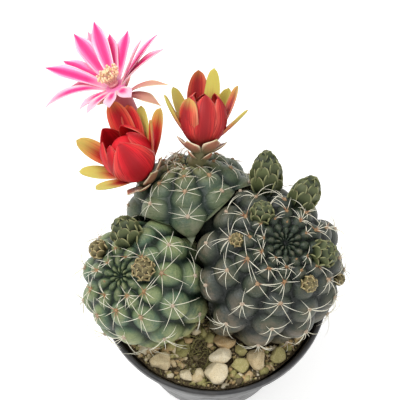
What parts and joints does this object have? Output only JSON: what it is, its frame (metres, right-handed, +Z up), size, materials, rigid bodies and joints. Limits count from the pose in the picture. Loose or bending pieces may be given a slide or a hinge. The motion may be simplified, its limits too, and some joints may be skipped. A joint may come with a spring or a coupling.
{
  "type": "chin cactus",
  "caption": "Clump of round ribbed cactus heads with spines, scaly buds, red half-open flowers and an open pink flower, in gritty soil in a round nursery pot.",
  "frame": {"origin": "middle of the pot's flat base, at the level of the surface that it stands on", "axes": "+Z up; +X to the right and +Y away from the side with the bare soil and pebbles; the open flower leans towards -X and +Y"},
  "size_m": [0.1195, 0.139, 0.1395],
  "materials": {
    "pot": "matte",
    "soil": "rough",
    "head_left": "satin",
    "head_right": "satin",
    "head_back": "satin",
    "pebble": "rough",
    "pink_tube": "satin",
    "pink_petal": "satin",
    "stamen": "matte",
    "red_tube": "satin",
    "red_petal": "satin",
    "bud": "satin"
  },
  "bodies": {
    "root": {"pot": "pot", "soil": "soil", "head_left": "head_left", "head_right": "head_right", "head_back": "head_back", "pebble_01": "pebble", "pebble_02": "pebble", "pebble_03": "pebble", "pebble_04": "pebble", "pebble_05": "pebble", "pebble_06": "pebble", "pebble_07": "pebble", "pebble_08": "pebble", "pebble_09": "pebble", "pebble_10": "pebble", "pebble_11": "pebble", "pebble_12": "pebble", "bloom_open_tube": "pink_tube", "bloom_open_petals": "pink_petal", "bloom_open_stamens": "stamen", "bloom_red_left_tube": "red_tube", "bloom_red_left_petals": "red_petal", "bloom_red_right_tube": "red_tube", "bloom_red_right_petals": "red_petal", "bud_01": "bud", "bud_02": "bud", "bud_03": "bud", "bud_04": "bud", "bud_05": "bud", "bud_06": "bud", "bud_07": "bud", "bud_08": "bud", "bud_09": "bud", "bud_10": "bud"}
  },
  "joints": []
}
